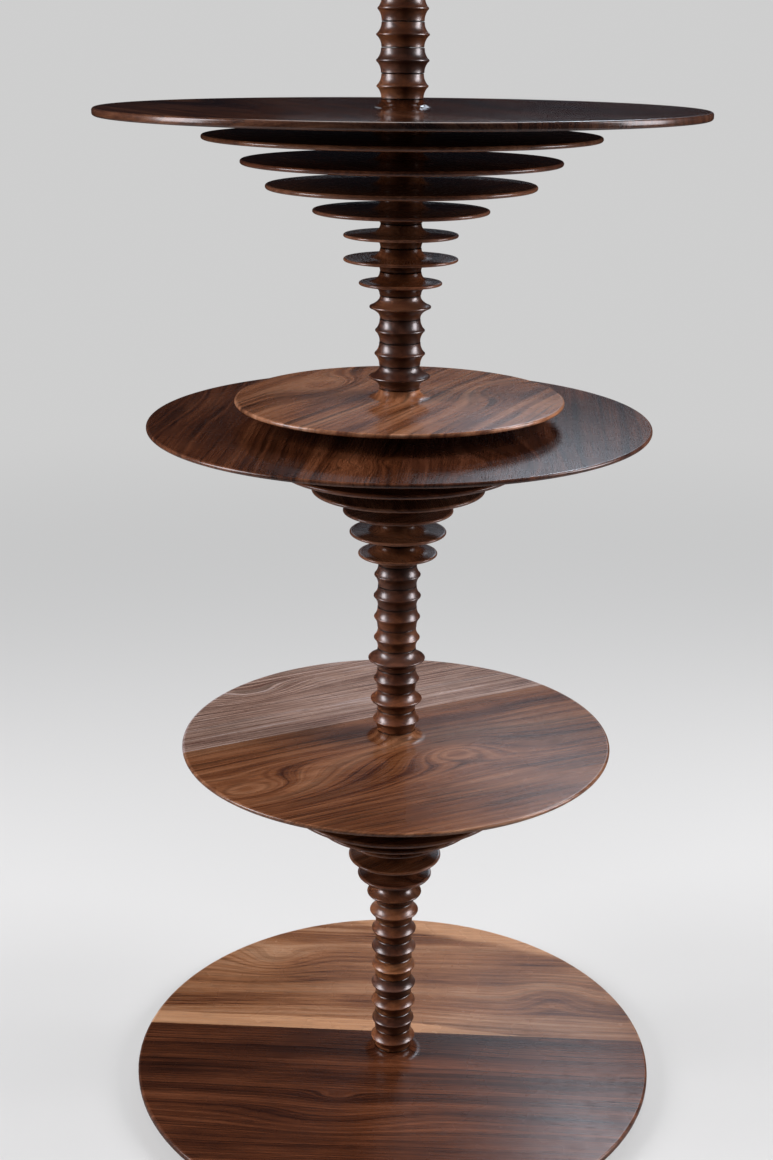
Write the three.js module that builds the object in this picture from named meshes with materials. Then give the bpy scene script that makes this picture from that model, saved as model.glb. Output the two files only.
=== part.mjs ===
// A free-standing tower of turned walnut rings. Fifty rings of one height are threaded on a steel tie rod.
// Small beads make the column, and graduated discs flare up from it into four round shelves.
// Millimetres, +Z up. The origin is on the floor, on the tower's axis.

import * as THREE from 'three';

// ---- Driving dimensions ----

const PITCH = 22; // height of one ring with its seam
const SEAM = 0.3; // gap between two neighbouring pieces
const NECK_RADIUS = 19.6; // every ring meets its neighbours on this circle
const BORE_RADIUS = 6.75; // running clearance round the rod
const ROD_RADIUS = 6;

const BEAD_MAX_DIAMETER = 60; // up to here a ring is a bead, with coves that run out to its edge
const SMALL_DISC_MAX_DIAMETER = 110; // up to here a ring is a small disc, which is thinner than a big one
const SMALL_DISC_FLARE_RADIUS = 30; // where a small disc's hub runs out into its flat plate
const SHELF_FLARE_RADIUS = 34; // the same for every bigger disc

const BEAD_EDGE = 2.4; // thickness of a bead at its edge
const SMALL_DISC_EDGE = 2.8;
const DISC_EDGE = 4.2;
const TOP_SHELF_EDGE = 7;

const FELT_THICKNESS = 2;
const FELT_INNER_RADIUS = 196;
const FELT_OUTER_RADIUS = 226;

const BASE_BOTTOM = FELT_THICKNESS + SEAM;
const BASE_DIAMETER = 551;
const BASE_EDGE = 7;
const BASE_BEVEL = 44; // how far the undercut runs in under the base's edge
const BASE_RECESS_RADIUS = 18;
const BASE_RECESS_DEPTH = 9.6;

const WASHER_THICKNESS = 2.5;
const BASE_WASHER_RADIUS = 15;
const TOP_WASHER_RADIUS = 12;
const SPRING_WASHER_RADIUS = 11.6;
const SPRING_WASHER_RISE = 1.1; // how much its inner edge stands above its outer edge
const SPRING_WASHER_THICKNESS = 1.4;
const WASHER_BORE_RADIUS = 6.6;
const NUT_ACROSS_FLATS = 18;
const NUT_BORE_RADIUS = 6.35;
const BASE_NUT_HEIGHT = 5.8;
const TOP_NUT_HEIGHT = 10;
const ROD_END_CLEARANCE = 3; // rod above the top nut

const FINIAL_HEIGHT = 50;
const FINIAL_SOCKET_RADIUS = 13.5;
const FINIAL_SOCKET_DEPTH = 22.5;
const FINIAL_DOME_RADIUS = 23;
const FINIAL_EDGE_RADIUS = 23.8;

// Sides of each round piece
const BEAD_SIDES = 16;
const SMALL_DISC_SIDES = 20;
const DISC_SIDES = 32;
const WASHER_SIDES = 16;
const NUT_BORE_SIDES = 16;
const ROD_SIDES = 12;

// The turner's list from the floor up: the name and diameter of every ring above the base.
const RINGS = [
  ...numbered('lower_bead', [47, 45, 47, 47, 46, 47, 47, 51]),
  ...numbered('lower_flare', [57, 77, 96, 106, 170, 228, 256, 304]),
  ['lower_shelf', 434],
  ...numbered('middle_bead', [47, 52, 46, 57, 46, 46, 47, 46]),
  ...numbered('middle_flare', [78, 95, 108, 169, 233, 294]),
  ['middle_shelf', 481],
  ['middle_tray', 314],
  ...numbered('upper_bead', [58, 48, 47, 58]),
  ...numbered('upper_flare', [78, 107, 107, 164, 250, 295, 364]),
  ['top_shelf', 554],
  ...numbered('top_bead', [47, 48, 48, 46]),
];

const HALF_RING = (PITCH - SEAM) / 2;
const STACK_TOP = BASE_BOTTOM + PITCH * (RINGS.length + 1); // the base is one pitch high too

function numbered(name, diameters) {
  return diameters.map((diameter, i) => [`${name}_${i + 1}`, diameter]);
}

// ---- Materials ----

const walnut = (color) => new THREE.MeshStandardMaterial({ color, roughness: 0.38, metalness: 0 });
const WALNUT_TONES = [0x6b4028, 0x7d4d30, 0x5a3422, 0x8a5a3a].map(walnut);
const steel = new THREE.MeshStandardMaterial({ color: 0xa9abae, roughness: 0.35, metalness: 1 });
const felt = new THREE.MeshStandardMaterial({ color: 0x2f2b29, roughness: 0.95, metalness: 0 });

// ---- Shapes ----

const tower = new THREE.Group();

function addMesh(name, geometry, material, z = 0) {
  const mesh = new THREE.Mesh(geometry, material);
  mesh.name = name;
  mesh.position.z = z;
  tower.add(mesh);
}

// A solid of revolution about Z. The outline is a list of [radius, height] that goes round
// the section with the material on its left, and either closes on itself or ends on the axis.
function turned(outline, sides) {
  const points = outline.map(([radius, height]) => new THREE.Vector2(radius, height));
  const onAxis = outline[0][0] === 0;
  if (!onAxis) points.push(points[0].clone());
  return new THREE.LatheGeometry(points, sides).rotateX(Math.PI / 2);
}

// A cove is a quarter of an ellipse that leaves the neck straight down and ends level at
// the given radius and height. It is given without its two ends.
function cove(endRadius, endHeight, steps) {
  const drop = HALF_RING - endHeight;
  const reach = endRadius - NECK_RADIUS;
  return Array.from({ length: steps - 1 }, (_, i) => {
    const angle = ((i + 1) / steps) * (Math.PI / 2);
    return [NECK_RADIUS + reach * (1 - Math.cos(angle)), HALF_RING - drop * Math.sin(angle)];
  });
}

// A ring is the same above and below its middle plane. Its cove ends at coveRadius, and a
// flat plate goes on from there to the edge.
function ringGeometry({ diameter, edge, coveRadius, coveSteps, sides }) {
  const upperHalf = [
    [BORE_RADIUS, HALF_RING],
    [NECK_RADIUS, HALF_RING],
    ...cove(coveRadius, edge / 2, coveSteps),
    [coveRadius, edge / 2],
  ];
  if (coveRadius < diameter / 2) upperHalf.push([diameter / 2, edge / 2]);
  const lowerHalf = upperHalf.map(([radius, height]) => [radius, -height]);
  return turned([...lowerHalf, ...upperHalf.reverse()], sides);
}

function ringShape(name, diameter) {
  if (diameter <= BEAD_MAX_DIAMETER) {
    return { diameter, edge: BEAD_EDGE, coveRadius: diameter / 2, coveSteps: 2, sides: BEAD_SIDES };
  }
  if (diameter <= SMALL_DISC_MAX_DIAMETER) {
    const hub = { coveRadius: SMALL_DISC_FLARE_RADIUS, coveSteps: 3 };
    return { diameter, edge: SMALL_DISC_EDGE, ...hub, sides: SMALL_DISC_SIDES };
  }
  const edge = name === 'top_shelf' ? TOP_SHELF_EDGE : DISC_EDGE;
  return { diameter, edge, coveRadius: SHELF_FLARE_RADIUS, coveSteps: 2, sides: DISC_SIDES };
}

// The base has a shelf's upper face. Underneath it is flat, with an undercut edge and a recess for the nut.
function baseGeometry() {
  const top = PITCH - SEAM / 2;
  const plateTop = (PITCH + BASE_EDGE) / 2;
  const radius = BASE_DIAMETER / 2;
  const toBase = ([coveRadius, height]) => [coveRadius, height + PITCH / 2];
  return turned(
    [
      [BORE_RADIUS, BASE_RECESS_DEPTH],
      [BASE_RECESS_RADIUS, BASE_RECESS_DEPTH],
      [BASE_RECESS_RADIUS, 0],
      [radius - BASE_BEVEL, 0],
      [radius, plateTop - BASE_EDGE],
      [radius, plateTop],
      [SHELF_FLARE_RADIUS, plateTop],
      ...cove(SHELF_FLARE_RADIUS, BASE_EDGE / 2, 2).reverse().map(toBase),
      [NECK_RADIUS, top],
      [BORE_RADIUS, top],
    ],
    DISC_SIDES,
  );
}

function collarGeometry(inner, outer, thickness, sides) {
  return turned([[inner, 0], [outer, 0], [outer, thickness], [inner, thickness]], sides);
}

function washerGeometry(radius) {
  return collarGeometry(WASHER_BORE_RADIUS, radius, WASHER_THICKNESS, WASHER_SIDES);
}

// A dished washer: its inner edge stands above its outer edge.
function springWasherGeometry() {
  const rise = SPRING_WASHER_RISE;
  const thickness = SPRING_WASHER_THICKNESS;
  return turned(
    [
      [WASHER_BORE_RADIUS, rise],
      [SPRING_WASHER_RADIUS, 0],
      [SPRING_WASHER_RADIUS, thickness],
      [WASHER_BORE_RADIUS, rise + thickness],
    ],
    WASHER_SIDES,
  );
}

function nutGeometry(height) {
  const corner = NUT_ACROSS_FLATS / 2 / Math.cos(Math.PI / 6);
  const corners = Array.from({ length: 6 }, (_, i) => {
    const angle = (i * Math.PI) / 3;
    return new THREE.Vector2(corner * Math.cos(angle), corner * Math.sin(angle));
  });
  const outline = new THREE.Shape(corners);
  outline.holes.push(new THREE.Path().absarc(0, 0, NUT_BORE_RADIUS, 0, Math.PI * 2, true));
  const curveSegments = NUT_BORE_SIDES / 2;
  return new THREE.ExtrudeGeometry(outline, { depth: height, bevelEnabled: false, curveSegments });
}

// The finial is a neck, an edge like a bead's and a low dome, with a socket over the nut.
function finialGeometry() {
  const edgeHeight = PITCH / 2;
  const domeBottom = FINIAL_HEIGHT - FINIAL_DOME_RADIUS;
  const steps = 5;
  const dome = Array.from({ length: steps }, (_, i) => {
    const angle = (i / steps) * (Math.PI / 2);
    return [FINIAL_DOME_RADIUS * Math.cos(angle), domeBottom + FINIAL_DOME_RADIUS * Math.sin(angle)];
  });
  return turned(
    [
      [0, FINIAL_SOCKET_DEPTH],
      [FINIAL_SOCKET_RADIUS, FINIAL_SOCKET_DEPTH],
      [FINIAL_SOCKET_RADIUS, 0],
      [NECK_RADIUS, 0],
      [FINIAL_EDGE_RADIUS, edgeHeight - BEAD_EDGE / 2],
      [FINIAL_EDGE_RADIUS, edgeHeight + BEAD_EDGE / 2],
      [NECK_RADIUS, PITCH],
      ...dome,
      [0, FINIAL_HEIGHT],
    ],
    BEAD_SIDES,
  );
}

// ---- The tower, from the floor up ----

const feltRing = collarGeometry(FELT_INNER_RADIUS, FELT_OUTER_RADIUS, FELT_THICKNESS, DISC_SIDES);
addMesh('felt_ring', feltRing, felt);
addMesh('base_shelf', baseGeometry(), WALNUT_TONES[0], BASE_BOTTOM);

RINGS.forEach(([name, diameter], i) => {
  const middle = BASE_BOTTOM + PITCH * (i + 1.5);
  addMesh(name, ringGeometry(ringShape(name, diameter)), WALNUT_TONES[i % WALNUT_TONES.length], middle);
});

const baseNutBottom = BASE_BOTTOM + SEAM;
const baseWasherBottom = baseNutBottom + BASE_NUT_HEIGHT + SEAM;
addMesh('base_nut', nutGeometry(BASE_NUT_HEIGHT), steel, baseNutBottom);
addMesh('base_washer', washerGeometry(BASE_WASHER_RADIUS), steel, baseWasherBottom);

const topWasherBottom = STACK_TOP + SEAM / 2;
const springWasherBottom = topWasherBottom + WASHER_THICKNESS + SEAM;
const topNutBottom = springWasherBottom + SPRING_WASHER_RISE + SPRING_WASHER_THICKNESS + SEAM;
const rodTop = topNutBottom + TOP_NUT_HEIGHT + ROD_END_CLEARANCE;
addMesh('top_washer', washerGeometry(TOP_WASHER_RADIUS), steel, topWasherBottom);
addMesh('spring_washer', springWasherGeometry(), steel, springWasherBottom);
addMesh('top_nut', nutGeometry(TOP_NUT_HEIGHT), steel, topNutBottom);

const rodLength = rodTop - baseNutBottom;
const rod = turned([[0, 0], [ROD_RADIUS, 0], [ROD_RADIUS, rodLength], [0, rodLength]], ROD_SIDES);
addMesh('tie_rod', rod, steel, baseNutBottom);
addMesh('finial_cap', finialGeometry(), WALNUT_TONES[1], STACK_TOP + SEAM / 2);

export default tower;
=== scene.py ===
"""The looks of a tower of turned walnut rings on a steel rod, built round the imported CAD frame.

Metres, +Z up. Every ring is a turned solid of its own, placed from its CAD node's box, and has its
own walnut.
"""

import math

import bpy
from mathutils import Matrix, Vector


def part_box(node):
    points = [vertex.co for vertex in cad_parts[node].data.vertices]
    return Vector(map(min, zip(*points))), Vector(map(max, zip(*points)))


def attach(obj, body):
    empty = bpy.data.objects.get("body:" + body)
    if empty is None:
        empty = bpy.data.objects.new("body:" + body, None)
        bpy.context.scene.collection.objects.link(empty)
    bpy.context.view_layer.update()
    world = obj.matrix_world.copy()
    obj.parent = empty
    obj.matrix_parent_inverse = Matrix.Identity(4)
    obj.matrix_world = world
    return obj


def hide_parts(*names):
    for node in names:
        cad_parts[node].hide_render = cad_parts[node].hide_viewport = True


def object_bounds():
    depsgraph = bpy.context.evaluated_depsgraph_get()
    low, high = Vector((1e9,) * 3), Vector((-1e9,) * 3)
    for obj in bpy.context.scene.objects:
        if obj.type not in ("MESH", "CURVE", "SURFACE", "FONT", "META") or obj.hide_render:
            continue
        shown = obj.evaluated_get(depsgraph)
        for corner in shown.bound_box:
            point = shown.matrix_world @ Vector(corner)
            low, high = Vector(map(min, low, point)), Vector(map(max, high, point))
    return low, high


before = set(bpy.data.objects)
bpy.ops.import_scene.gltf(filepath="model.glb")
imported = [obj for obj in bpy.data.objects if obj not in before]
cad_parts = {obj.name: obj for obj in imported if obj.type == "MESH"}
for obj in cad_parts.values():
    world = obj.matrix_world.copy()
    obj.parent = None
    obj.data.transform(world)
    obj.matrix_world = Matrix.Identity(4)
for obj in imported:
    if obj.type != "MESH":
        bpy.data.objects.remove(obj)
cad_low, cad_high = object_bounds()

MM = 0.001
BEADS = ["lower_bead", "middle_bead", "upper_bead", "top_bead"]
FLARES = ["lower_flare", "middle_flare", "upper_flare"]
SHELVES = ["lower_shelf", "middle_shelf", "middle_tray", "top_shelf"]


def nodes_of(prefixes):
    """The CAD nodes whose names start with one of the prefixes, from the floor up."""
    found = [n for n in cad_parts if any(n.startswith(p) for p in prefixes)]
    return sorted(found, key=lambda n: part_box(n)[0].z)


def middle(node):
    low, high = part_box(node)
    return (low.z + high.z) / 2


def radius_of(node):
    low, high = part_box(node)
    return (high.x - low.x) / 2


def height_of(node):
    low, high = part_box(node)
    return high.z - low.z


RING_NODES = nodes_of(BEADS + FLARES + SHELVES)
PITCH = middle("lower_bead_2") - middle("lower_bead_1")
HALF_RING = height_of("lower_bead_1") / 2
NECK = 0.89 * PITCH  # the widest radius at which two rings meet
BORE = 6.75 * MM

# Radii that sort the rings: below the first a ring has a bead's section, above it a plate's
HUB_RADIUS = 31 * MM
SMALL_DISC = 60 * MM
MEDIUM_DISC = 90 * MM
# How thick the plates are at their edge
SMALL_EDGE, MEDIUM_EDGE, WIDE_EDGE = 2.7 * MM, 3.4 * MM, 4.2 * MM
SHELF_EDGE = 7.0 * MM  # of the base and the top shelf
PLATE_CORNER = 2.4 * MM  # the largest rounding of a plate's corners
# How many sides the round outlines have
BEAD_SIDES, DISC_SIDES, SHELF_SIDES = 96, 144, 224


# ---------------------------------------------------------------- camera, light, floor


LENS_MM, SENSOR_MM = 50.37, 36
# The camera's place in ring heights: across from the axis, back from it, and up from the top shelf
CAMERA_ACROSS, CAMERA_BACK, CAMERA_UP = -0.491, 69.34, 2.765
CAMERA_TIP_DOWN, CAMERA_ROLL = math.radians(18.39), math.radians(0.464)


def make_camera():
    """A 50 mm lens a little above the top shelf, tipped down, and level to half a degree."""
    data = bpy.data.cameras.new("camera")
    data.sensor_width = SENSOR_MM
    data.lens = LENS_MM
    data.clip_end = 100
    camera = bpy.data.objects.new("camera", data)
    bpy.context.scene.collection.objects.link(camera)
    camera.location = (
        CAMERA_ACROSS * PITCH,
        -CAMERA_BACK * PITCH,
        middle("top_shelf") + CAMERA_UP * PITCH,
    )
    tip = Matrix.Rotation(math.pi / 2 - CAMERA_TIP_DOWN, 3, "X")
    camera.rotation_euler = (tip @ Matrix.Rotation(CAMERA_ROLL, 3, "Z")).to_euler()
    bpy.context.scene.camera = camera


STUDIO_GRAY = (0.62, 0.62, 0.62)
WHITE, NEUTRAL, COOL = (1, 1, 1), (1.0, 0.955, 1.0), (0.74, 0.86, 1.0)
SIDE_RADIANCE = 17
SHEEN_SHARE = 0.15
# Name, place, width and height, radiance and colour of the softboxes behind and above the tower
PLAIN_LIGHTS = [
    ("back_right_high", (1.30, 4.0, 3.70), (0.8, 0.7), 10, COOL),
    ("back_right", (0.80, 4.0, 2.50), (1.0, 0.6), 1.9, COOL),
    ("back_low", (0.30, 4.0, 2.07), (1.4, 0.32), 1.0, COOL),
    ("top_soft", (0, 1.0, 3.6), (2.0, 1.6), 1.6, WHITE),
]
# The pieces that the glint of the side lights shows on
GLINTING = bpy.data.collections.new("glinting")


def add_area_light(name, location, size, radiance, color):
    """A softbox, size wide and high, that faces the tower at the height of its middle."""
    data = bpy.data.lights.new(name, "AREA")
    data.shape = "RECTANGLE"
    data.size, data.size_y = size
    data.energy = radiance * math.pi * size[0] * size[1]
    data.color = color
    light = bpy.data.objects.new(name, data)
    bpy.context.scene.collection.objects.link(light)
    light.location = location
    light.visible_camera = False
    aim = Vector((0, 0, cad_high.z / 2)) - light.location
    light.rotation_euler = aim.to_track_quat("-Z", "Y").to_euler()
    return light


def add_side_light(name, x, y):
    """A tall softbox beside the tower, in three parts, one just behind the other.

    The first lights the wood but doesn't show in its gloss. The second is the faint sheen on every
    piece. The third is the glint on the beads: on the flat shelves it would be a white glare."""
    size, height = (0.75, 1.5), 1.45
    sheen_radiance = SIDE_RADIANCE * SHEEN_SHARE
    fill = add_area_light(f"{name}_fill", (x, y, height), size, SIDE_RADIANCE, NEUTRAL)
    fill.visible_glossy = False
    sheen = add_area_light(f"{name}_sheen", (x * 1.03, y, height), size, sheen_radiance, NEUTRAL)
    sheen.visible_diffuse = False
    glint = add_area_light(f"{name}_glint", (x * 1.06, y, height), size, SIDE_RADIANCE, NEUTRAL)
    glint.visible_diffuse = False
    glint.light_linking.receiver_collection = GLINTING


def make_lights():
    """Two tall softboxes at the sides, three behind for the shelves' sheen, and one on top."""
    add_side_light("side_left", -1.8, -0.30)
    add_side_light("side_right", 1.8, 0.0)
    for name, place, size, radiance, color in PLAIN_LIGHTS:
        add_area_light(name, place, size, radiance, color)


def make_world():
    """Pale where the camera sees it, a soft fill for the surfaces, and dim in reflections."""
    world = bpy.data.worlds.new("studio")
    bpy.context.scene.world = world
    world.use_nodes = True
    tree = world.node_tree
    tree.nodes.clear()
    shades = {
        "seen": STUDIO_GRAY,
        "fill": (0.030, 0.031, 0.034),
        "reflected": (0.006, 0.0075, 0.011),
    }
    background = {}
    for name, color in shades.items():
        background[name] = tree.nodes.new("ShaderNodeBackground")
        background[name].inputs["Color"].default_value = (*color, 1)
    path = tree.nodes.new("ShaderNodeLightPath")
    glossy, camera = tree.nodes.new("ShaderNodeMixShader"), tree.nodes.new("ShaderNodeMixShader")
    tree.links.new(path.outputs["Is Glossy Ray"], glossy.inputs["Fac"])
    tree.links.new(background["fill"].outputs[0], glossy.inputs[1])
    tree.links.new(background["reflected"].outputs[0], glossy.inputs[2])
    tree.links.new(path.outputs["Is Camera Ray"], camera.inputs["Fac"])
    tree.links.new(glossy.outputs[0], camera.inputs[1])
    tree.links.new(background["seen"].outputs[0], camera.inputs[2])
    out = tree.nodes.new("ShaderNodeOutputWorld")
    tree.links.new(camera.outputs[0], out.inputs["Surface"])


FLOOR_PAINT = (0.725, 0.745, 0.72)
FLOOR_BOUNCE = (0.13, 0.12, 0.115)
FADE_START, FADE_END = 0.5, 3.2  # distances from the tower between which the floor fades
FADE_AT_START = 0.45


def make_floor():
    reach = 30
    corners = [(-reach, -reach, 0), (reach, -reach, 0), (reach, reach, 0), (-reach, reach, 0)]
    mesh = bpy.data.meshes.new("floor")
    mesh.from_pydata(corners, [], [(0, 1, 2, 3)])
    floor = bpy.data.objects.new("floor", mesh)
    bpy.context.scene.collection.objects.link(floor)
    mesh.materials.append(floor_material())


def floor_material():
    """Pale paint that fades into the studio's own pale grey, so that no horizon shows.

    Only the camera sees it pale: for the light that it throws back, it is darker."""
    graph = Graph("pale_floor")
    paint = graph.shader
    paint.inputs["Base Color"].default_value = (*FLOOR_PAINT, 1)
    paint.inputs["Roughness"].default_value = 0.9
    distance = graph.tree.nodes.new("ShaderNodeVectorMath")
    distance.operation = "LENGTH"
    graph.put(distance.inputs[0], graph.object_coordinates())
    fade = graph.span(distance.outputs["Value"], FADE_START, FADE_END, FADE_AT_START, 1.0)
    far = graph.tree.nodes.new("ShaderNodeEmission")
    far.inputs["Color"].default_value = (*STUDIO_GRAY, 1)
    seen = graph.tree.nodes.new("ShaderNodeMixShader")
    graph.put(seen.inputs["Fac"], fade)
    graph.put(seen.inputs[1], paint.outputs[0])
    graph.put(seen.inputs[2], far.outputs[0])
    dim = graph.tree.nodes.new("ShaderNodeBsdfDiffuse")
    dim.inputs["Color"].default_value = (*FLOOR_BOUNCE, 1)
    path = graph.tree.nodes.new("ShaderNodeLightPath")
    choice = graph.tree.nodes.new("ShaderNodeMixShader")
    graph.put(choice.inputs["Fac"], path.outputs["Is Camera Ray"])
    graph.put(choice.inputs[1], dim.outputs[0])
    graph.put(choice.inputs[2], seen.outputs[0])
    graph.put(graph.tree.nodes["Material Output"].inputs["Surface"], choice.outputs[0])
    return graph.material


def make_studio():
    make_lights()
    make_world()
    make_floor()
    bpy.context.scene.view_settings.view_transform = "Standard"


# ---------------------------------------------------------------- node helper


class Graph:
    """A material's node tree, with one short call for each node that is used here."""

    def __init__(self, name):
        self.material = bpy.data.materials.new(name)
        self.material.use_nodes = True
        self.tree = self.material.node_tree
        self.shader = self.tree.nodes["Principled BSDF"]

    def put(self, socket, value):
        if isinstance(value, bpy.types.NodeSocket):
            self.tree.links.new(value, socket)
        else:
            socket.default_value = value

    def math(self, operation, a, b=0.0):
        node = self.tree.nodes.new("ShaderNodeMath")
        node.operation = operation
        self.put(node.inputs[0], a)
        self.put(node.inputs[1], b)
        return node.outputs[0]

    def vector(self, x, y, z):
        node = self.tree.nodes.new("ShaderNodeCombineXYZ")
        for socket, value in zip(node.inputs, (x, y, z)):
            self.put(socket, value)
        return node.outputs[0]

    def split(self, vector):
        node = self.tree.nodes.new("ShaderNodeSeparateXYZ")
        self.put(node.inputs[0], vector)
        return node.outputs

    def scaled(self, vector, scale):
        node = self.tree.nodes.new("ShaderNodeVectorMath")
        node.operation = "MULTIPLY"
        self.put(node.inputs[0], vector)
        self.put(node.inputs[1], scale)
        return node.outputs[0]

    def noise(self, vector, detail, roughness=0.5, distortion=0.0):
        """Noise in three dimensions, at the scale that the vector already has."""
        node = self.tree.nodes.new("ShaderNodeTexNoise")
        self.put(node.inputs["Vector"], vector)
        self.put(node.inputs["Scale"], 1.0)
        self.put(node.inputs["Detail"], detail)
        self.put(node.inputs["Roughness"], roughness)
        self.put(node.inputs["Distortion"], distortion)
        return node.outputs["Fac"]

    def noise_1d(self, value, scale, detail=2.0, roughness=0.5):
        node = self.tree.nodes.new("ShaderNodeTexNoise")
        node.noise_dimensions = "1D"
        self.put(node.inputs["W"], value)
        self.put(node.inputs["Scale"], scale)
        self.put(node.inputs["Detail"], detail)
        self.put(node.inputs["Roughness"], roughness)
        return node.outputs["Fac"]

    def span(self, value, low, high, out_low=0.0, out_high=1.0):
        """value from low..high to out_low..out_high, smoothly, and held at both ends."""
        node = self.tree.nodes.new("ShaderNodeMapRange")
        node.interpolation_type = "SMOOTHSTEP"
        self.put(node.inputs["Value"], value)
        self.put(node.inputs["From Min"], low)
        self.put(node.inputs["From Max"], high)
        self.put(node.inputs["To Min"], out_low)
        self.put(node.inputs["To Max"], out_high)
        return node.outputs["Result"]

    def ramp(self, value, stops):
        node = self.tree.nodes.new("ShaderNodeValToRGB")
        elements = node.color_ramp.elements
        while len(elements) < len(stops):
            elements.new(0.5)
        for element, (position, color) in zip(elements, stops):
            element.position = position
            element.color = (*color, 1)
        self.put(node.inputs["Fac"], value)
        return node.outputs["Color"]

    def mix(self, factor, a, b, blend="MIX"):
        node = self.tree.nodes.new("ShaderNodeMix")
        node.data_type = "RGBA"
        node.blend_type = blend
        self.put(node.inputs[0], factor)
        self.put(node.inputs[6], a if isinstance(a, bpy.types.NodeSocket) else (*a, 1))
        self.put(node.inputs[7], b if isinstance(b, bpy.types.NodeSocket) else (*b, 1))
        return node.outputs[2]

    def shaded(self, color, value):
        """A colour times a number."""
        node = self.tree.nodes.new("ShaderNodeCombineColor")
        for socket in node.inputs:
            self.put(socket, value)
        return self.mix(1.0, color, node.outputs[0], "MULTIPLY")

    def bump(self, height, strength, distance):
        node = self.tree.nodes.new("ShaderNodeBump")
        node.inputs["Strength"].default_value = strength
        node.inputs["Distance"].default_value = distance
        self.put(node.inputs["Height"], height)
        return node.outputs["Normal"]

    def object_coordinates(self):
        return self.tree.nodes.new("ShaderNodeTexCoord").outputs["Object"]

    def object_normal(self):
        return self.tree.nodes.new("ShaderNodeTexCoord").outputs["Normal"]


# ---------------------------------------------------------------- walnut

# Colours of walnut, from its darkest streak to sapwood
CHOCOLATE = (0.0140, 0.0040, 0.0022)
HEART_DARK = (0.044, 0.0098, 0.0038)
HEART_MID = (0.122, 0.0305, 0.0102)
HEART_LIGHT = (0.262, 0.103, 0.040)
SAPWOOD = (0.48, 0.272, 0.145)
# Casts, which multiply the colours
PLUM_CAST = (0.72, 1.08, 1.75)
GOLDEN_CAST = (1.10, 1.06, 0.85)
# Partly a greyer board's own colour, partly a painted cool sheen on the lower shelf's back
ASH_SHEEN_CAST = (0.82, 1.42, 2.75)
FAWN_CAST = (0.94, 1.07, 1.18)
TRAY_CAST = (1.0, 1.04, 1.1)
# Painted highlight: with a gain, this cast makes a plate's edge lighter and cooler
RIM_HIGHLIGHT_CAST = (1.0, 1.15, 1.35)

# Noise scales per metre, along the grain and twice across it
SWAY_SCALE = (3.2, 10.0, 10.0)
CLOUD_SCALE = (5.0, 15.0, 15.0)
PATCH_SCALE = (9.0, 22.0, 22.0)
FIBRE_SCALE = (14.0, 420.0, 420.0)
SAPWOOD_FIBRE_SCALE = (10.0, 420.0, 420.0)
PORE_SCALE = (45.0, 2000.0, 2000.0)
WEAR_SCALE = (22.0, 22.0, 22.0)
# Growth lines per metre of distance from the pith: bands, rings and hair lines
BAND_LINES, RING_LINES, HAIR_LINES = 34.0, 150.0, 560.0
# How much each of them, the clouds and the fibres lighten or darken the wood
BAND_WEIGHT, RING_WEIGHT, CLOUD_WEIGHT, FIBRE_WEIGHT = 0.30, 0.16, 0.28, 0.85
VEIN_WIDTH = 0.07  # how far the noise strays from its middle value inside a dark vein
# How far apart two neighbouring seeds lie in the noise, along the grain and from the pith
SEED_ALONG, SEED_GROWTH = 7.31, 1.37

# Each pair is where a soft band starts and ends: inside a rim, under a seam, beside a glue line
RIM_BAND = (3.0 * MM, 1.4 * MM)
SEAM_BAND = (0.75 * MM, 0.4 * MM)
GLUE_BAND = (0.2 * MM, 0.7 * MM)
# What is left of the colour there, in open pores and on end grain
# At a seam, the share of colour left is painted shadow of the groove between two rings
SEAM_SHADOW, GLUE_SHADE, PORE_SHADE, END_GRAIN_SHADE = 0.22, 0.6, 0.45, 0.72

WEAR_DEPTH = 0.06  # how much the roughness changes from a worn patch to a fresh one
RIM_ROUGHNESS = 0.36
RIM_COAT_IOR = 2.3
COAT_IOR, COAT_ROUGHNESS, WOOD_IOR = 1.5, 0.18, 1.48


def blended(a, b, share):
    return tuple(x + (y - x) * share for x, y in zip(a, b))


def multiplied(a, b):
    return tuple(x * y for x, y in zip(a, b))


def cast_of(warmth):
    """The cast of a warmth from -1, plum grey, to 1, golden."""
    return blended((1, 1, 1), GOLDEN_CAST if warmth > 0 else PLUM_CAST, abs(warmth))


def heartwood_stops(board):
    """A board's colours from its darkest streak to its palest. tone goes from 0, dark, to 1, pale.

    warmth goes from -1, plum grey, to 1, golden, unless the board has a cast of its own. gain makes
    the whole board brighter."""
    tone, warmth = board["tone"], board["warmth"]
    cast = board["cast"] or cast_of(warmth)
    dark = blended(CHOCOLATE, HEART_MID, tone * 0.55)
    middle_tone = blended(HEART_DARK, HEART_LIGHT, tone)
    pale = blended(HEART_MID, SAPWOOD, tone * 0.8)
    stops = [(0.12, dark), (0.48, middle_tone), (0.88, pale)]
    tint = [board["gain"] * part for part in cast]
    return [(place, multiplied(color, tint)) for place, color in stops]


def push_of_figures(graph, x, y, grain_degrees, figures):
    """How far curls and knots push the growth lines aside.

    A figure is (x, y, along, across, push) in mm: a hump at that place on the shelf, with its long
    axis along the grain. Where it pushes more than it is wide, the lines close into an eye."""
    turn = Matrix.Rotation(-math.radians(grain_degrees), 2)
    total = 0.0
    for figure_x, figure_y, along, across, push in figures:
        centre = turn @ Vector((figure_x, figure_y))
        u = graph.math("DIVIDE", graph.math("SUBTRACT", x, centre.x * MM), along * MM)
        v = graph.math("DIVIDE", graph.math("SUBTRACT", y, centre.y * MM), across * MM)
        far = graph.math("ADD", graph.math("POWER", u, 2.0), graph.math("POWER", v, 2.0))
        hump = graph.math("EXPONENT", graph.math("MULTIPLY", far, -1.0))
        total = graph.math("ADD", graph.math("MULTIPLY", hump, push * MM), total)
    return total


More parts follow.
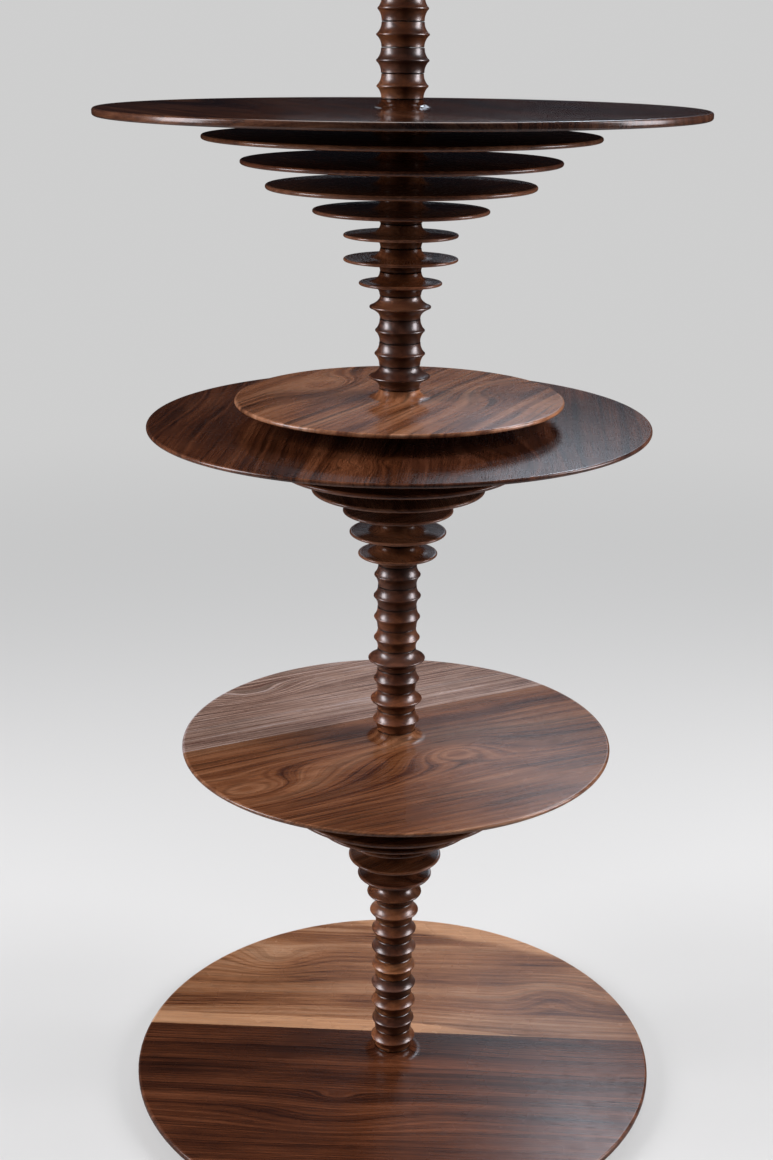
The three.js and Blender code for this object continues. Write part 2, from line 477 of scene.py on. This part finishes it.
def growth_distance(graph, place, push, board):
    """Distance from the tree's pith, the number that all of a board's lines follow.

    The pith lies pith_depth under the board's middle and slopes, so flat faces cut the growth
    cylinders into arches. Noise makes them sway."""
    seed = board["seed"]
    x, y, z = graph.split(place)
    lane = graph.vector(
        graph.math("ADD", graph.math("MULTIPLY", x, SWAY_SCALE[0]), seed * SEED_ALONG),
        graph.math("MULTIPLY", y, SWAY_SCALE[1]),
        graph.math("MULTIPLY", z, SWAY_SCALE[2]),
    )
    sway = graph.math("SUBTRACT", graph.noise(lane, 3.0, 0.42), 0.5)
    across = graph.math("ADD", graph.math("SUBTRACT", y, board["pith_y"]), push)
    across = graph.math("ADD", across, graph.math("MULTIPLY", sway, board["sway"]))
    depth = graph.math("ADD", z, graph.math("MULTIPLY", x, board["slope"]))
    depth = graph.math("ADD", depth, board["pith_depth"])
    squares = graph.math("ADD", graph.math("POWER", across, 2.0), graph.math("POWER", depth, 2.0))
    return graph.math("ADD", graph.math("SQRT", squares), seed * SEED_GROWTH)


def board_color(graph, place, push, board):
    """One board's colour, and a number for the relief of its growth lines.

    place is in the board's frame: x along the grain, y across it, z up."""
    growth = growth_distance(graph, place, push, board)

    def along_growth(scale, detail, low=0.32, high=0.68):
        return graph.span(graph.noise_1d(growth, scale, detail, 0.6), low, high)

    bands = along_growth(BAND_LINES, 2.0)
    rings = along_growth(RING_LINES, 2.0)
    hair = along_growth(HAIR_LINES, 1.0, 0.25, 0.75)
    cloud = graph.span(graph.noise(graph.scaled(place, CLOUD_SCALE), 2.0, 0.5), 0.3, 0.7)
    fibre = graph.noise(graph.scaled(place, FIBRE_SCALE), 4.0, 0.75)
    weights = (
        (bands, BAND_WEIGHT),
        (rings, RING_WEIGHT),
        (hair, board["fine"]),
        (cloud, CLOUD_WEIGHT),
    )
    shade = 0.10 + 0.45 * (1 - board["contrast"]) - 0.5 * board["fine"]
    for part, weight in weights:
        shade = graph.math("ADD", graph.math("MULTIPLY", part, weight * board["contrast"]), shade)
    streaks = graph.math("MULTIPLY", graph.math("SUBTRACT", fibre, 0.5), FIBRE_WEIGHT)
    shade = graph.math("ADD", shade, streaks)
    color = graph.ramp(shade, heartwood_stops(board))

    vein = graph.noise_1d(growth, board["vein_scale"], 1.0)
    vein = graph.math("ABSOLUTE", graph.math("SUBTRACT", vein, 0.5))
    patchy = graph.noise(graph.scaled(place, PATCH_SCALE), 1.0)
    depth = graph.span(patchy, 0.38, 0.62, 1 - board["vein_depth"] * 0.35, 1 - board["vein_depth"])
    dark_line = graph.span(vein, 0.0, VEIN_WIDTH, depth, 1.0)
    return graph.shaded(color, dark_line), hair


def plain_board(number, tone, **changes):
    """A board with its own place in the tree, worked out from its number.

    fine is the weight of the hair lines. The pith's place and the lines' sway are in metres, and
    slope is how much the pith rises along the grain. vein_scale is the veins' noise per metre."""
    board = {
        "seed": number,
        "tone": tone,
        "warmth": 0.0,
        "gain": 1.0,
        "cast": None,
        "fine": 0.12,
        "pith_y": 0.05 * math.sin(number * 2.4),
        "pith_depth": 0.055 + 0.025 * math.sin(number * 1.7),
        "slope": 0.16 * math.cos(number * 3.1),
        "sway": 0.022,
        "contrast": 1.0,
        "vein_scale": 90.0,
        "vein_depth": 0.45,
    }
    board.update(changes)
    return board


def jointed_boards(graph, place, grain_degrees, boards, joint_y, figures, sapwood):
    """The colour of one board, or of a front and a back board with a glue line between them."""
    x, y, _ = graph.split(place)
    push = push_of_figures(graph, x, y, grain_degrees, figures)
    color, lines = board_color(graph, place, push, boards[0])
    if len(boards) > 1:
        behind = graph.math("GREATER_THAN", y, joint_y)
        back_color, _ = board_color(graph, place, push, boards[1])
        if sapwood:
            back_color = graph.mix(sapwood(graph, x, y), back_color, sapwood_color(graph, place))
        color = graph.mix(behind, color, back_color)
        glue = graph.math("ABSOLUTE", graph.math("SUBTRACT", y, joint_y))
        color = graph.shaded(color, graph.span(glue, *GLUE_BAND, GLUE_SHADE, 1.0))
    return color, lines


def end_grain_shade(graph, grain_degrees):
    """Darker where the surface faces along the grain and the fibres are cut across."""
    along = graph.tree.nodes.new("ShaderNodeVectorMath")
    along.operation = "DOT_PRODUCT"
    angle = math.radians(grain_degrees)
    graph.put(along.inputs[0], graph.object_normal())
    graph.put(along.inputs[1], (math.cos(angle), math.sin(angle), 0))
    facing = graph.math("ABSOLUTE", along.outputs["Value"])
    return graph.span(facing, 0.4, 1.0, 1.0, END_GRAIN_SHADE)


def rim_mask(graph, place, rim):
    """1 on a plate's edge, 0 on its faces."""
    x, y, _ = graph.split(place)
    squares = graph.math("ADD", graph.math("POWER", x, 2.0), graph.math("POWER", y, 2.0))
    start, end = RIM_BAND
    return graph.span(graph.math("SQRT", squares), rim - start, rim - end)


def painted_seam_shadow(graph, own, seam_height):
    """Painted shadow: darker close to the seam, in the groove where two rings meet."""
    height = graph.math("ABSOLUTE", graph.split(own)[2])
    start, end = SEAM_BAND
    return graph.span(height, seam_height - start, seam_height - end, 1.0, SEAM_SHADOW)


def set_gloss(graph, own, filled, on_rim, roughness, relief, coat, rim):
    """Worn patches, dull open pores and a duller rim, with a clear coat over the rim."""
    wear = graph.noise(graph.scaled(own, WEAR_SCALE), 2.0, 0.5)
    worn = graph.math("ADD", graph.math("MULTIPLY", wear, WEAR_DEPTH), roughness - WEAR_DEPTH / 2)
    duller = graph.math("MULTIPLY", on_rim, max(0.0, RIM_ROUGHNESS - roughness))
    open_pores = graph.math("MULTIPLY", graph.math("SUBTRACT", 1.0, filled), 0.15 * relief)
    inputs = graph.shader.inputs
    graph.put(inputs["Roughness"], graph.math("ADD", graph.math("ADD", duller, worn), open_pores))
    graph.put(inputs["Coat Weight"], graph.math("MAXIMUM", on_rim, coat) if rim else coat)
    inputs["Coat IOR"].default_value = RIM_COAT_IOR if rim else COAT_IOR
    inputs["Coat Roughness"].default_value = COAT_ROUGHNESS
    inputs["IOR"].default_value = WOOD_IOR


def walnut(
    name,
    grain_degrees,
    boards,
    joint_y=0.0,
    figures=(),
    sapwood=None,
    roughness=0.27,
    relief=1.0,
    coat=0.05,
    rim=None,
    rim_highlight_gain=1.8,
    seam_height=None,
):
    """Oiled walnut. The grain runs at grain_degrees from +X in the ring's own plane.

    boards is one board, or the front and the back board, which meet at joint_y in the grain's own
    frame. relief is how deep the pores are. rim is the radius of a plate, whose edge is painted
    lighter and cooler as a highlight and has a clear coat that catches a thin line of light.
    seam_height is where the ring meets its neighbours: beside it, painted shadow darkens the seam."""
    graph = Graph(name)
    own = graph.object_coordinates()
    mapping = graph.tree.nodes.new("ShaderNodeMapping")
    mapping.inputs["Rotation"].default_value = (0, 0, -math.radians(grain_degrees))
    graph.put(mapping.inputs["Vector"], own)
    place = mapping.outputs[0]

    color, lines = jointed_boards(graph, place, grain_degrees, boards, joint_y, figures, sapwood)
    pores = graph.noise(graph.scaled(place, PORE_SCALE), 2.0, 0.6)
    filled = graph.span(pores, 0.54, 0.68, 1.0, 0.0)
    color = graph.shaded(color, graph.span(pores, 0.52, 0.68, 1.0, PORE_SHADE))
    color = graph.shaded(color, end_grain_shade(graph, grain_degrees))
    on_rim = 0.0
    if rim:
        on_rim = rim_mask(graph, place, rim)
        # Painted highlight: the plate's edge is made lighter and cooler
        painted_rim_light = graph.mix(on_rim, (1, 1, 1), tuple(rim_highlight_gain * part for part in RIM_HIGHLIGHT_CAST))
        color = graph.mix(1.0, color, painted_rim_light, "MULTIPLY")
    # Painted shadow along the seams where the ring meets its neighbours
    if seam_height:
        color = graph.shaded(color, painted_seam_shadow(graph, own, seam_height))
    graph.put(graph.shader.inputs["Base Color"], color)
    set_gloss(graph, own, filled, on_rim, roughness, relief, coat, rim)

    grain_relief = graph.math("ADD", filled, graph.math("MULTIPLY", lines, 0.3))
    normal = graph.bump(grain_relief, 0.12 * relief, 0.12 * MM)
    graph.put(graph.shader.inputs["Normal"], normal)
    return graph.material


def sapwood_color(graph, place):
    fibre = graph.noise(graph.scaled(place, SAPWOOD_FIBRE_SCALE), 3.0, 0.6)
    return graph.ramp(fibre, [(0.3, blended(HEART_LIGHT, SAPWOOD, 0.45)), (0.7, SAPWOOD)])


# ---------------------------------------------------------------- turned solids


def arc(centre, radius, start, end, steps):
    """Points (r, z) on an arc from start to end degrees."""
    points = []
    for i in range(steps + 1):
        angle = math.radians(start + (end - start) * i / steps)
        r = centre[0] + radius * math.cos(angle)
        z = centre[1] + radius * math.sin(angle)
        points.append((r, z))
    return points


def turned(name, outline, segments, height):
    """A solid of revolution about the tower's axis, with its own origin at that height.

    The outline is a list of (radius, z) with the material on its left. It closes on itself, or starts
    and ends on the axis."""
    vertices, faces, rows = [], [], []
    for radius, z in outline:
        if radius == 0:
            rows.append([len(vertices)] * segments)
            vertices.append((0, 0, z))
            continue
        rows.append(list(range(len(vertices), len(vertices) + segments)))
        for i in range(segments):
            angle = 2 * math.pi * i / segments
            vertices.append((radius * math.cos(angle), radius * math.sin(angle), z))
    closed = outline[0][0] != 0
    pairs = list(zip(rows, rows[1:]))
    if closed:
        pairs.append((rows[-1], rows[0]))
    for lower, upper in pairs:
        for i in range(segments):
            j = (i + 1) % segments
            corners = [lower[i], lower[j], upper[j], upper[i]]
            faces.append(list(dict.fromkeys(corners)))
    return solid(name, vertices, faces, height)


def solid(name, vertices, faces, height, sharp_degrees=40):
    mesh = bpy.data.meshes.new(name)
    mesh.from_pydata(vertices, [], faces)
    mesh.validate()
    mesh.polygons.foreach_set("use_smooth", [True] * len(mesh.polygons))
    mesh.set_sharp_from_angle(angle=math.radians(sharp_degrees))
    piece = bpy.data.objects.new(name, mesh)
    bpy.context.scene.collection.objects.link(piece)
    piece.location.z = height
    return piece


def edge_round(radius, half_edge, corner):
    """A plate's outer edge, from its lower face to its upper face: two corners and a slight crown."""
    low = arc((radius - corner, -half_edge + corner), corner, -90, -8, 6)
    return low + [(r, -z) for r, z in reversed(low)]


def cove_points(neck, reach_radius, half, end_height, power, steps):
    """A bead's cove: from its edge, at end_height, in to the neck, at half. power makes it hollow."""
    points = []
    for i in range(steps + 1):
        share = i / steps
        drop = (1 - share) ** power
        z = end_height + (half - end_height) * share
        points.append((neck + (reach_radius - neck) * drop, z))
    return points


def ring_outline(radius, neck, half_edge):
    """A ring's section: bore, neck, cove, plate and edge, the same above and below."""
    ease = 0.45 * MM
    if radius < HUB_RADIUS:
        tip = 1.3 * MM  # the radius of a bead's blunt edge
        upper = cove_points(neck, radius - tip * 0.45, HALF_RING - ease, tip * 0.66, 2.2, 12)
        edge = arc((radius - tip, 0), tip, -46, 46, 8)
        upper = [p for p in upper if p[1] > edge[-1][1] * 1.05]
    else:
        reach_radius = min(HUB_RADIUS, radius - 1.5 * MM)
        upper = plate_cove(neck, reach_radius, HALF_RING - ease, half_edge, 16)
        edge = edge_round(radius, half_edge, min(half_edge * 0.95, PLATE_CORNER))
    top = [(neck - ease, HALF_RING), (BORE + ease, HALF_RING), (BORE, HALF_RING - ease)]
    upper = upper + top
    lower = [(r, -z) for r, z in reversed(upper)]
    return lower + edge + upper


def plate_cove(neck, reach_radius, half, end_height, steps):
    """A quarter of an ellipse, level at the plate's face and upright at the neck."""
    reach, rise = reach_radius - neck, half - end_height
    points = []
    for i in range(steps + 1):
        angle = math.radians(90 * i / steps)
        r = reach_radius - reach * math.sin(angle)
        z = end_height + rise * (1 - math.cos(angle))
        points.append((r, z))
    return points


def make_ring(node, number, material):
    """A ring's piece. The necks differ by up to half a millimetre, as turned by hand."""
    radius = radius_of(node)
    neck = NECK - 0.25 * MM * (1 + math.sin(number * 2.1))
    outline = ring_outline(radius, neck, plate_edge(node) / 2)
    piece = turned(f"{node}_wood", outline, sides_of(radius), middle(node))
    piece.data.materials.append(material)
    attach(piece, node)
    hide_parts(node)
    if radius < HUB_RADIUS:
        GLINTING.objects.link(piece)


def sides_of(radius):
    if radius < HUB_RADIUS:
        return BEAD_SIDES
    return DISC_SIDES if radius < SMALL_DISC else SHELF_SIDES


def plate_edge(node):
    if node == "top_shelf":
        return SHELF_EDGE
    if radius_of(node) < SMALL_DISC:
        return SMALL_EDGE
    return MEDIUM_EDGE if radius_of(node) < MEDIUM_DISC else WIDE_EDGE


# ---------------------------------------------------------------- the rings


# Tone and warmth of each bead's wood, from the floor up
BEAD_WOOD = {
    "lower_bead": [
        (0.56, 0.3), (0.30, -0.4), (0.64, 0.7), (0.18, -0.6),
        (0.74, 0.9), (0.34, -0.2), (0.52, 0.2), (0.70, 0.3),
    ],
    "middle_bead": [
        (0.60, 0.3), (0.42, 0.5), (0.20, 0.0), (0.22, -0.4),
        (0.50, 0.5), (0.36, 0.2), (0.26, -0.3), (0.28, -0.4),
    ],
    "upper_bead": [(0.30, -0.2), (0.46, 0.0), (0.27, -0.3), (0.38, 0.1)],
    "top_bead": [(0.58, 0.5), (0.28, -0.4), (0.44, 0.6), (0.42, 0.3)],
}
BEAD_GAIN = {"lower_bead": 0.66, "middle_bead": 0.62, "upper_bead": 0.46, "top_bead": 0.46}
BEAD_CAST = (1.0, 0.88, 0.85)  # the beads are redder than the shelves


def bead_material(node, number):
    """Each bead comes from another board, and its grain runs another way than its neighbour's."""
    group, _, place = node.rpartition("_")
    tone, warmth = BEAD_WOOD[group][int(place) - 1]
    board = plain_board(
        number,
        tone,
        cast=multiplied(cast_of(warmth), BEAD_CAST),
        gain=BEAD_GAIN[group],
        contrast=0.75,
        vein_scale=140.0,
        vein_depth=0.3,
    )
    return walnut(
        f"walnut_{node}",
        40 + number * 67,
        [board],
        roughness=0.31,
        relief=0.25,
        coat=0.1,
        seam_height=HALF_RING,
    )


def flare_material(node, number):
    tone = 0.20 + 0.10 * math.sin(number * 2.9)
    board = plain_board(number, tone, warmth=0.2 * math.cos(number), contrast=0.7, vein_depth=0.3)
    return walnut(
        f"walnut_{node}",
        number * 53,
        [board],
        roughness=0.24,
        relief=0.5,
        coat=0.0,
        rim=rim_radius(node),
        rim_highlight_gain=2.6,
        seam_height=HALF_RING,
    )


BASE_JOINT = 31 * MM


def tapering_stripe(graph, x, y):
    """Sapwood in two places: along the base's joint, ending to the right, and at the far edge."""
    width = graph.span(x, -40 * MM, 170 * MM, 22.5 * MM, 0.0)
    wave = graph.math("MULTIPLY", graph.math("SUBTRACT", graph.noise_1d(x, 14.0), 0.5), 6 * MM)
    stripe_end = graph.math("ADD", graph.math("ADD", width, wave), BASE_JOINT)
    stripe = graph.span(graph.math("SUBTRACT", y, stripe_end), -1.2 * MM, 1.2 * MM, 1.0, 0.0)
    far_start = graph.math("SUBTRACT", 252 * MM, graph.math("MULTIPLY", x, 0.26))
    far_start = graph.math("ADD", far_start, graph.math("MULTIPLY", wave, 3.0))
    far = graph.span(graph.math("SUBTRACT", y, far_start), -10 * MM, 6 * MM)
    return graph.math("MAXIMUM", stripe, far)


SHELF_WOOD = {
    "base_shelf": dict(
        grain_degrees=-3.1,
        joint_y=BASE_JOINT,
        sapwood=tapering_stripe,
        # Partly own wood, partly painted light: back board painted lit, front board painted shaded
        boards=[
            plain_board(3, 0.13, warmth=0.1, fine=0.3, pith_y=-0.42, slope=0.02, sway=0.024),
            plain_board(
                8, 0.66, cast=FAWN_CAST, gain=1.3, contrast=0.9, pith_y=0.42, slope=0.04,
                sway=0.042, vein_depth=0.3,
            ),
        ],
        figures=[
            (-60, -88, 34, 9, 12),
            (-70, -130, 85, 26, 20),
            (-140, 178, 44, 30, 34),
            (185, 105, 42, 28, -30),
        ],
    ),
    "lower_shelf": dict(
        grain_degrees=26.5,
        joint_y=53 * MM,
        boards=[
            plain_board(
                5, 0.46, warmth=0.1, gain=1.1, fine=0.22, pith_y=-0.40, slope=0.06,
                sway=0.034,
            ),
            # Back board: high gain and grey cast are partly its wood, partly painted sheen and light
            plain_board(
                11, 0.74, cast=ASH_SHEEN_CAST, gain=2.05, contrast=0.6, fine=0.6, pith_y=0.45, slope=0.03,
                sway=0.010, vein_scale=210.0,
            ),
        ],
        figures=[(-135, -142, 88, 40, 52), (52, -32, 66, 34, -44), (-150, 105, 60, 24, 24)],
    ),
    "middle_shelf": dict(
        grain_degrees=86,
        joint_y=-13 * MM,
        # Both boards dark: partly own wood, partly painted shade of the shelves above
        boards=[
            plain_board(17, 0.11, warmth=-0.2, pith_y=-0.40, slope=0.06, sway=0.03),
            plain_board(13, 0.14, warmth=0.2, pith_y=0.40, slope=-0.06, sway=0.04, vein_depth=0.6),
        ],
        figures=[(95, -170, 70, 40, 40), (-40, -190, 16, 14, 14), (-8, -165, 14, 10, -12)],
    ),
    "middle_tray": dict(
        grain_degrees=63,
        boards=[
            plain_board(
                21, 0.50, cast=TRAY_CAST, gain=1.55, contrast=0.95, fine=0.10, pith_y=0.40,
                slope=0.04, sway=0.03, vein_scale=60.0, vein_depth=0.65,
            ),
        ],
        figures=[(-68, 50, 58, 27, 46), (92, 40, 56, 27, -42)],
    ),
    "top_shelf": dict(
        grain_degrees=112,
        roughness=0.13,
        relief=0.2,
        coat=0.0,
        joint_y=20 * MM,
        # The low gain is partly dark wood, partly painted shade that makes the top near black
        boards=[
            plain_board(29, 0.16, gain=0.7, pith_y=-0.12, slope=0.1, sway=0.03),
            plain_board(31, 0.22, gain=0.7, pith_y=0.15, slope=-0.1, sway=0.03),
        ],
    ),
}


def rim_radius(node):
    """The radius of a ring with a plate, or None."""
    return radius_of(node) if radius_of(node) > HUB_RADIUS else None


def ring_material(node, number):
    if node in SHELF_WOOD:
        seam_height = height_of(node) if node == "base_shelf" else HALF_RING
        wood = SHELF_WOOD[node]
        return walnut(f"walnut_{node}", rim=rim_radius(node), seam_height=seam_height, **wood)
    if "flare" in node:
        return flare_material(node, number)
    return bead_material(node, number)


def make_rings():
    for number, node in enumerate(RING_NODES, start=1):
        make_ring(node, number, ring_material(node, number))


def make_base():
    """The base: a shelf's upper face, an undercut edge, a flat underside and a recess for the nut."""
    radius, height = radius_of("base_shelf"), height_of("base_shelf")
    half_edge = SHELF_EDGE / 2
    centre = PITCH / 2  # the height of the plate's middle
    ease = 0.35 * MM
    recess, recess_depth = 18 * MM, 9.6 * MM
    undercut = 44 * MM
    corner = PLATE_CORNER
    edge = arc((radius - corner, centre - half_edge + corner), corner, -70, -8, 6)
    edge += arc((radius - corner, centre + half_edge - corner), corner, 8, 90, 6)
    cove = plate_cove(NECK, HUB_RADIUS, height - centre - ease, half_edge, 16)
    upper = [(r, centre + z) for r, z in cove]
    outline = [
        (BORE, recess_depth),
        (recess - ease, recess_depth),
        (recess, recess_depth - ease),
        (recess, ease * 2),
        (recess + ease * 2, 0),
        (radius - undercut - 1.5 * MM, 0),
        (radius - undercut, 0.2 * MM),
        *edge,
        *upper,
        (NECK - ease, height),
        (BORE + ease, height),
        (BORE, height - ease),
    ]
    piece = turned("base_shelf_wood", outline, SHELF_SIDES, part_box("base_shelf")[0].z)
    piece.data.materials.append(ring_material("base_shelf", 0))
    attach(piece, "stand")
    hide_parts("base_shelf")


def make_finial():
    """The cap over the nut: neck, edge, waist and a low dome, with a socket underneath."""
    radius, height = radius_of("finial_cap"), height_of("finial_cap")
    ease, tip = 0.35 * MM, 1.2 * MM
    socket, socket_depth = 13.5 * MM, 22.5 * MM
    dome = radius - 0.8 * MM
    edge_height = PITCH / 2
    cove = cove_points(NECK, radius - tip * 0.55, edge_height - ease, tip * 0.7, 2.0, 10)
    lower = [(r, edge_height - z) for r, z in reversed(cove)]
    edge = arc((radius - tip, edge_height), tip, -48, 48, 6)
    waist = cove_points(NECK, radius - tip * 0.55, edge_height, tip * 0.7, 2.0, 10)
    upper = [(r, edge_height + z) for r, z in waist]
    crown = arc((0, height - dome), dome, 8, 90, 20)[:-1]
    outline = [
        (0, socket_depth),
        (socket - ease, socket_depth),
        (socket, socket_depth - ease),
        (socket, ease),
        (socket + ease, 0),
        (NECK - ease, 0),
        *lower,
        *edge,
        *upper,
        *crown,
        (0, height),
    ]
    piece = turned("finial_cap_wood", outline, BEAD_SIDES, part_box("finial_cap")[0].z)
    board = plain_board(53, 0.45, warmth=0.2, contrast=0.8)
    wood = walnut("walnut_finial_cap", 20, [board], roughness=0.31, relief=0.25, coat=0.1)
    piece.data.materials.append(wood)
    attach(piece, "finial_cap")
    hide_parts("finial_cap")
    GLINTING.objects.link(piece)


# ---------------------------------------------------------------- steel and felt


BRUSH_SCALE = (60.0, 60.0, 2200.0)
STAIN_SCALE = (90.0, 90.0, 90.0)
FELT_HAIR_SCALE = (900.0, 900.0, 900.0)
NUT_BORE, WASHER_BORE = 6.2 * MM, 6.6 * MM
CHAMFER_START = 0.97  # where a nut's chamfer starts, as a share of its half width
FELT_WIDTH = 30 * MM
HARDWARE_SIDES, ROD_SIDES, FELT_SIDES = 72, 36, 160


def steel_material(name, roughness):
    graph = Graph(name)
    own = graph.object_coordinates()
    brushed = graph.noise(graph.scaled(own, BRUSH_SCALE), 3.0, 0.6)
    stain = graph.noise(graph.scaled(own, STAIN_SCALE), 3.0, 0.6)
    color = graph.ramp(stain, [(0.3, (0.46, 0.46, 0.45)), (0.7, (0.62, 0.62, 0.63))])
    graph.put(graph.shader.inputs["Base Color"], color)
    graph.shader.inputs["Metallic"].default_value = 1.0
    brushing = graph.span(brushed, 0.3, 0.7, roughness - 0.07, roughness + 0.07)
    graph.put(graph.shader.inputs["Roughness"], brushing)
    graph.put(graph.shader.inputs["Normal"], graph.bump(brushed, 0.15, 0.1 * MM))
    return graph.material


def felt_material():
    graph = Graph("dark_felt")
    own = graph.object_coordinates()
    hairs = graph.noise(graph.scaled(own, FELT_HAIR_SCALE), 4.0, 0.7, 1.5)
    color = graph.ramp(hairs, [(0.3, (0.02, 0.018, 0.016)), (0.75, (0.085, 0.075, 0.066))])
    graph.put(graph.shader.inputs["Base Color"], color)
    graph.shader.inputs["Roughness"].default_value = 0.95
    graph.shader.inputs["Sheen Weight"].default_value = 0.35
    graph.put(graph.shader.inputs["Normal"], graph.bump(hairs, 0.6, 0.6 * MM))
    return graph.material


def hexagon(radius, z, angle, half_flats, height):
    """Where a point of a nut's outline goes.

    The bore stays round, the chamfer starts on a circle inside the flats, and the points outside
    them go to the hexagon, whose corners the chamfer cuts."""
    if radius < half_flats * 0.9:
        return radius, z
    chamfer_start = half_flats * CHAMFER_START
    if radius < half_flats:
        return chamfer_start, z
    full = half_flats / math.cos((angle % (math.pi / 3)) - math.pi / 6)
    cut = max(0.0, full - chamfer_start) * math.tan(math.radians(30))
    return full, cut if z < height / 2 else height - cut


def make_nut(node, material):
    low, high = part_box(node)
    height, half_flats = high.z - low.z, (high.y - low.y) / 2
    corner, bevel = half_flats * 1.2, 0.6 * MM
    chamfer_start = half_flats * CHAMFER_START - 0.2 * MM
    outline = [
        (NUT_BORE + bevel, 0),
        (chamfer_start, 0),
        (corner, 0),
        (corner, height),
        (chamfer_start, height),
        (NUT_BORE + bevel, height),
        (NUT_BORE, height - bevel),
        (NUT_BORE, bevel),
    ]
    vertices, faces = [], []
    for radius, z in outline:
        for i in range(HARDWARE_SIDES):
            angle = 2 * math.pi * i / HARDWARE_SIDES
            r, new_z = hexagon(radius, z, angle, half_flats, height)
            vertices.append((r * math.cos(angle), r * math.sin(angle), new_z))
    rows = len(outline)
    for row in range(rows):
        below, above = row * HARDWARE_SIDES, ((row + 1) % rows) * HARDWARE_SIDES
        for i in range(HARDWARE_SIDES):
            j = (i + 1) % HARDWARE_SIDES
            faces.append([below + i, below + j, above + j, above + i])
    piece = solid(f"{node}_steel", vertices, faces, low.z, 30)
    piece.data.materials.append(material)
    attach(piece, "stand")
    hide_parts(node)


def make_washer(node, material):
    outer, thick = radius_of(node), height_of(node)
    round_off = 0.35 * MM
    outline = [
        (WASHER_BORE + round_off, 0),
        *arc((outer - round_off, round_off), round_off, -90, 0, 3),
        *arc((outer - round_off, thick - round_off), round_off, 0, 90, 3),
        (WASHER_BORE + round_off, thick),
        (WASHER_BORE, thick - round_off),
        (WASHER_BORE, round_off),
    ]
    piece = turned(f"{node}_steel", outline, HARDWARE_SIDES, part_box(node)[0].z)
    piece.data.materials.append(material)
    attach(piece, "stand")
    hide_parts(node)


def make_spring_washer(material):
    """A shallow cone that presses on the stack."""
    outer = radius_of("spring_washer")
    rise, thick, round_off = 1.1 * MM, 1.4 * MM, 0.3 * MM
    outline = [
        (WASHER_BORE + round_off, rise),
        (outer - round_off, 0),
        (outer, round_off),
        (outer, thick - round_off),
        (outer - round_off, thick),
        (WASHER_BORE + round_off, rise + thick),
        (WASHER_BORE, rise + thick - round_off),
        (WASHER_BORE, rise + round_off),
    ]
    piece = turned("spring_washer_steel", outline, HARDWARE_SIDES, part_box("spring_washer")[0].z)
    piece.data.materials.append(material)
    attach(piece, "stand")
    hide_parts("spring_washer")


THREAD_LEAD, THREAD_DEPTH, ROD_CHAMFER = 1.75 * MM, 0.9 * MM, 1.0 * MM
THREAD_AT_FOOT, THREAD_AT_TOP = 26 * MM, 40 * MM


def thread_depth(z, angle, threads):
    """How deep the thread cuts into the rod at a point: nothing on the plain shank."""
    if not any(start < z < end for start, end in threads):
        return 0.0
    phase = (z / THREAD_LEAD - angle / (2 * math.pi)) % 1.0
    return THREAD_DEPTH * (1 - abs(2 * phase - 1))


def make_rod(material):
    """The tie rod: a plain shank with a rolled thread at both ends."""
    radius, length = radius_of("tie_rod"), height_of("tie_rod")
    threads = [(ROD_CHAMFER, THREAD_AT_FOOT), (length - THREAD_AT_TOP, length - ROD_CHAMFER)]
    row_step = THREAD_LEAD / 7
    rows = [(radius - ROD_CHAMFER, 0.0)]
    for start, end in threads:
        count = round((end - start) / row_step)
        rows += [(radius, start + (end - start) * i / count) for i in range(count + 1)]
    rows.append((radius - ROD_CHAMFER, length))
    vertices, faces = [(0, 0, 0)], []
    for row_radius, z in rows:
        for i in range(ROD_SIDES):
            angle = 2 * math.pi * i / ROD_SIDES
            r = row_radius - thread_depth(z, angle, threads)
            vertices.append((r * math.cos(angle), r * math.sin(angle), z))
    vertices.append((0, 0, length))
    last = len(vertices) - 1
    for row in range(len(rows) - 1):
        for i in range(ROD_SIDES):
            j = (i + 1) % ROD_SIDES
            a, b = 1 + row * ROD_SIDES, 1 + (row + 1) * ROD_SIDES
            faces.append([a + i, a + j, b + j, b + i])
    top = 1 + (len(rows) - 1) * ROD_SIDES
    for i in range(ROD_SIDES):
        j = (i + 1) % ROD_SIDES
        faces.append([0, 1 + j, 1 + i])
        faces.append([last, top + i, top + j])
    piece = solid("tie_rod_steel", vertices, faces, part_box("tie_rod")[0].z, 50)
    piece.data.materials.append(material)
    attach(piece, "stand")
    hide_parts("tie_rod")


def make_felt():
    outer, thick = radius_of("felt_ring"), height_of("felt_ring")
    inner = outer - FELT_WIDTH
    soft = thick * 0.4
    outline = [
        *arc((inner + soft, soft), soft, 180, 270, 4),
        *arc((outer - soft, soft), soft, -90, 0, 4),
        *arc((outer - soft, thick - soft), soft, 0, 90, 4),
        *arc((inner + soft, thick - soft), soft, 90, 180, 4),
    ]
    piece = turned("felt_ring_felt", outline, FELT_SIDES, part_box("felt_ring")[0].z)
    piece.data.materials.append(felt_material())
    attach(piece, "stand")
    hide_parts("felt_ring")


def make_hardware():
    bright = steel_material("bright_zinc", 0.30)
    worn = steel_material("rolled_steel", 0.38)
    make_rod(worn)
    for node in ("base_nut", "top_nut"):
        make_nut(node, bright)
    for node in ("base_washer", "top_washer"):
        make_washer(node, bright)
    make_spring_washer(worn)


# ---------------------------------------------------------------- everything

make_camera()
make_studio()
make_base()
make_rings()
make_finial()
make_hardware()
make_felt()
